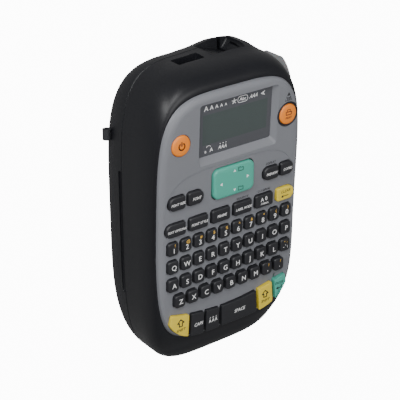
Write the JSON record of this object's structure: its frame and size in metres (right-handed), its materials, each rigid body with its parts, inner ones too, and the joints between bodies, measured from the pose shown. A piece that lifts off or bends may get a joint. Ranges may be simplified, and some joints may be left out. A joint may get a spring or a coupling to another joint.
{
  "type": "label maker",
  "caption": "Handheld label maker with a letter keyboard, a screen, a label cartridge, a feed and cutter mechanism and a pull-off back cover.",
  "frame": {"origin": "centre of the footprint, on the surface that the four feet stand on", "axes": "+Z out of the keys, +Y towards the end where the label comes out, +X to the right seen from the keys"},
  "size_m": [0.1116, 0.192, 0.0625],
  "materials": {
    "case_black": "satin",
    "inner_black": "matte",
    "panel_grey": "satin",
    "window": "polished",
    "lcd": "matte",
    "foot_rubber": "matte",
    "steel": "brushed",
    "cell": "gloss",
    "board": "satin",
    "mat_rubber": "matte",
    "cartridge": "satin",
    "label_film": "satin",
    "ribbon": "satin",
    "head_ceramic": "gloss",
    "platen_rubber": "matte",
    "gear_white": "satin",
    "motor_can": "satin",
    "brass": "machined",
    "button_grey": "satin",
    "key_black": "satin",
    "key_teal": "satin",
    "key_yellow": "satin",
    "key_orange": "satin"
  },
  "bodies": {
    "case": {"front_case": "case_black", "face_panel": "panel_grey", "lcd_window": "window", "lcd_module": "lcd", "chassis": "inner_black", "screws": "steel", "battery_cells": "cell", "battery_springs": "steel", "battery_contacts": "steel", "main_board": "board", "keypad_mat": "mat_rubber", "power_inlet": "inner_black", "cartridge_shell": "cartridge", "label_strip": "label_film", "head_spring": "steel", "feed_motor": "motor_can", "fixed_blade": "steel", "cutter_spring": "steel"},
    "cover": {"back_cover": "case_black", "rubber_feet": "foot_rubber", "strap_eyelet": "inner_black"},
    "label_roll": {"label_roll": "label_film"},
    "ribbon_supply": {"ribbon_supply": "ribbon"},
    "ribbon_takeup": {"ribbon_takeup": "ribbon"},
    "takeup_spindle": {"takeup_spindle": "gear_white"},
    "head_arm": {"print_head": "head_ceramic", "head_arm": "steel"},
    "platen": {"platen_shaft": "steel", "platen_roller": "platen_rubber", "platen_gear": "gear_white"},
    "motor_rotor": {"motor_shaft": "steel", "motor_pinion": "brass"},
    "drive_gear": {"drive_gear": "gear_white"},
    "cutter_button": {"cutter_button": "button_grey"},
    "cutter_blade": {"cutter_blade": "steel", "blade_carrier": "inner_black"},
    "nav_gimbal": {"nav_gimbal": "inner_black"},
    "nav_pad": {"nav_pad": "key_teal"},
    "power_key": {"power_key": "key_orange"},
    "print_key": {"print_key": "key_orange"},
    "digits": {"digit_keys": "key_black"},
    "upper_letters": {"upper_letter_keys": "key_black"},
    "middle_letters": {"middle_letter_keys": "key_black"},
    "lower_letters": {"lower_letter_keys": "key_black"},
    "size_key": {"size_key": "key_black"},
    "font_key": {"font_key": "key_black"},
    "preview_key": {"preview_key": "key_black"},
    "copies_key": {"copies_key": "key_black"},
    "text_key": {"text_key": "key_black"},
    "style_key": {"style_key": "key_black"},
    "frame_key": {"frame_key": "key_black"},
    "mode_key": {"mode_key": "key_black"},
    "symbol_key": {"symbol_key": "key_black"},
    "clear_key": {"clear_key": "key_yellow"},
    "shift_left_key": {"shift_left_key": "key_yellow"},
    "caps_key": {"caps_key": "key_black"},
    "accent_key": {"accent_key": "key_black"},
    "space_key": {"space_key": "key_black"},
    "shift_right_key": {"shift_right_key": "key_yellow"},
    "enter_key": {"enter_key": "key_teal"}
  },
  "joints": [
    {"name": "drive_spin", "type": "hinge", "parent": "case", "child": "drive_gear", "pos_m": [0.0243, 0.05334, 0.043], "axis": [0, 0, 1], "continuous": true},
    {"name": "platen_spin", "type": "hinge", "parent": "case", "child": "platen", "pos_m": [0.0243, 0.075, 0.024], "axis": [0, 0, 1], "continuous": true},
    {"name": "motor_spin", "type": "hinge", "parent": "case", "child": "motor_rotor", "pos_m": [0.03792, 0.03972, 0.043], "axis": [0, 0, 1], "continuous": true},
    {"name": "takeup_spin", "type": "hinge", "parent": "case", "child": "takeup_spindle", "pos_m": [0.00261, 0.04753, 0.03], "axis": [0, 0, 1], "continuous": true},
    {"name": "ribbon_takeup_spin", "type": "hinge", "parent": "case", "child": "ribbon_takeup", "pos_m": [0.00261, 0.04753, 0.024], "axis": [0, 0, 1], "continuous": true},
    {"name": "ribbon_supply_spin", "type": "hinge", "parent": "case", "child": "ribbon_supply", "pos_m": [0.00111, 0.02053, 0.024], "axis": [0, 0, 1], "continuous": true},
    {"name": "label_roll_spin", "type": "hinge", "parent": "case", "child": "label_roll", "pos_m": [-0.023, 0.03653, 0.024], "axis": [0, 0, 1], "continuous": true},
    {"name": "head_release", "type": "hinge", "parent": "case", "child": "head_arm", "pos_m": [0.0095, 0.06, 0.024], "axis": [0, 0, 1], "range_deg": [0, 8], "stiffness_Nm_per_rad": 0.05, "springref_deg": -11.46},
    {"name": "cutter_press", "type": "hinge", "parent": "case", "child": "cutter_button", "pos_m": [0.0455, 0.066, 0.043], "axis": [0, 0, 1], "range_deg": [0, 8.5], "stiffness_Nm_per_rad": 0.05, "springref_deg": -5.73},
    {"name": "blade_slide", "type": "slide", "parent": "case", "child": "cutter_blade", "axis": [-1, 0, 0], "range_m": [0, 0.003]},
    {"name": "cover_pull", "type": "slide", "parent": "case", "child": "cover", "axis": [0, 0, -1], "range_m": [0, 0.014]},
    {"name": "nav_tilt_up_down", "type": "hinge", "parent": "case", "child": "nav_gimbal", "pos_m": [0.0006, 0.0254, 0.0529], "axis": [1, 0, 0], "range_deg": [-3, 3], "stiffness_Nm_per_rad": 0.05},
    {"name": "nav_tilt_left_right", "type": "hinge", "parent": "nav_gimbal", "child": "nav_pad", "pos_m": [0.0006, 0.0254, 0.0529], "axis": [0, 1, 0], "range_deg": [-3, 3], "stiffness_Nm_per_rad": 0.05},
    {"name": "power_key_press", "type": "slide", "parent": "case", "child": "power_key", "axis": [0, 0, -1], "range_m": [0, 0.0008], "stiffness_N_per_m": 300, "springref_m": -0.001},
    {"name": "print_key_press", "type": "slide", "parent": "case", "child": "print_key", "axis": [0, 0, -1], "range_m": [0, 0.0008], "stiffness_N_per_m": 300, "springref_m": -0.001},
    {"name": "digits_press", "type": "slide", "parent": "case", "child": "digits", "axis": [0, 0, -1], "range_m": [0, 0.0008], "stiffness_N_per_m": 1500, "springref_m": -0.001},
    {"name": "upper_letters_press", "type": "slide", "parent": "case", "child": "upper_letters", "axis": [0, 0, -1], "range_m": [0, 0.0008], "stiffness_N_per_m": 1500, "springref_m": -0.001},
    {"name": "middle_letters_press", "type": "slide", "parent": "case", "child": "middle_letters", "axis": [0, 0, -1], "range_m": [0, 0.0008], "stiffness_N_per_m": 1500, "springref_m": -0.001},
    {"name": "lower_letters_press", "type": "slide", "parent": "case", "child": "lower_letters", "axis": [0, 0, -1], "range_m": [0, 0.0008], "stiffness_N_per_m": 1500, "springref_m": -0.001},
    {"name": "size_key_press", "type": "slide", "parent": "case", "child": "size_key", "axis": [0, 0, -1], "range_m": [0, 0.0008], "stiffness_N_per_m": 300, "springref_m": -0.001},
    {"name": "font_key_press", "type": "slide", "parent": "case", "child": "font_key", "axis": [0, 0, -1], "range_m": [0, 0.0008], "stiffness_N_per_m": 300, "springref_m": -0.001},
    {"name": "preview_key_press", "type": "slide", "parent": "case", "child": "preview_key", "axis": [0, 0, -1], "range_m": [0, 0.0008], "stiffness_N_per_m": 300, "springref_m": -0.001},
    {"name": "copies_key_press", "type": "slide", "parent": "case", "child": "copies_key", "axis": [0, 0, -1], "range_m": [0, 0.0008], "stiffness_N_per_m": 300, "springref_m": -0.001},
    {"name": "text_key_press", "type": "slide", "parent": "case", "child": "text_key", "axis": [0, 0, -1], "range_m": [0, 0.0008], "stiffness_N_per_m": 300, "springref_m": -0.001},
    {"name": "style_key_press", "type": "slide", "parent": "case", "child": "style_key", "axis": [0, 0, -1], "range_m": [0, 0.0008], "stiffness_N_per_m": 300, "springref_m": -0.001},
    {"name": "frame_key_press", "type": "slide", "parent": "case", "child": "frame_key", "axis": [0, 0, -1], "range_m": [0, 0.0008], "stiffness_N_per_m": 300, "springref_m": -0.001},
    {"name": "mode_key_press", "type": "slide", "parent": "case", "child": "mode_key", "axis": [0, 0, -1], "range_m": [0, 0.0008], "stiffness_N_per_m": 300, "springref_m": -0.001},
    {"name": "symbol_key_press", "type": "slide", "parent": "case", "child": "symbol_key", "axis": [0, 0, -1], "range_m": [0, 0.0008], "stiffness_N_per_m": 300, "springref_m": -0.001},
    {"name": "clear_key_press", "type": "slide", "parent": "case", "child": "clear_key", "axis": [0, 0, -1], "range_m": [0, 0.0008], "stiffness_N_per_m": 300, "springref_m": -0.001},
    {"name": "shift_left_key_press", "type": "slide", "parent": "case", "child": "shift_left_key", "axis": [0, 0, -1], "range_m": [0, 0.0008], "stiffness_N_per_m": 300, "springref_m": -0.001},
    {"name": "caps_key_press", "type": "slide", "parent": "case", "child": "caps_key", "axis": [0, 0, -1], "range_m": [0, 0.0008], "stiffness_N_per_m": 300, "springref_m": -0.001},
    {"name": "accent_key_press", "type": "slide", "parent": "case", "child": "accent_key", "axis": [0, 0, -1], "range_m": [0, 0.0008], "stiffness_N_per_m": 300, "springref_m": -0.001},
    {"name": "space_key_press", "type": "slide", "parent": "case", "child": "space_key", "axis": [0, 0, -1], "range_m": [0, 0.0008], "stiffness_N_per_m": 300, "springref_m": -0.001},
    {"name": "shift_right_key_press", "type": "slide", "parent": "case", "child": "shift_right_key", "axis": [0, 0, -1], "range_m": [0, 0.0008], "stiffness_N_per_m": 300, "springref_m": -0.001},
    {"name": "enter_key_press", "type": "slide", "parent": "case", "child": "enter_key", "axis": [0, 0, -1], "range_m": [0, 0.0008], "stiffness_N_per_m": 300, "springref_m": -0.001}
  ],
  "couplings": [
    {"joint": "platen_spin", "follows": "drive_spin", "ratio": -2},
    {"joint": "motor_spin", "follows": "drive_spin", "ratio": -3},
    {"joint": "takeup_spin", "follows": "drive_spin", "ratio": -1.8},
    {"joint": "ribbon_takeup_spin", "follows": "drive_spin", "ratio": -1.8},
    {"joint": "ribbon_supply_spin", "follows": "drive_spin", "ratio": -1.523},
    {"joint": "label_roll_spin", "follows": "drive_spin", "ratio": 0.5747},
    {"joint": "blade_slide", "follows": "cutter_press", "m_per_rad": 0.0198}
  ]
}
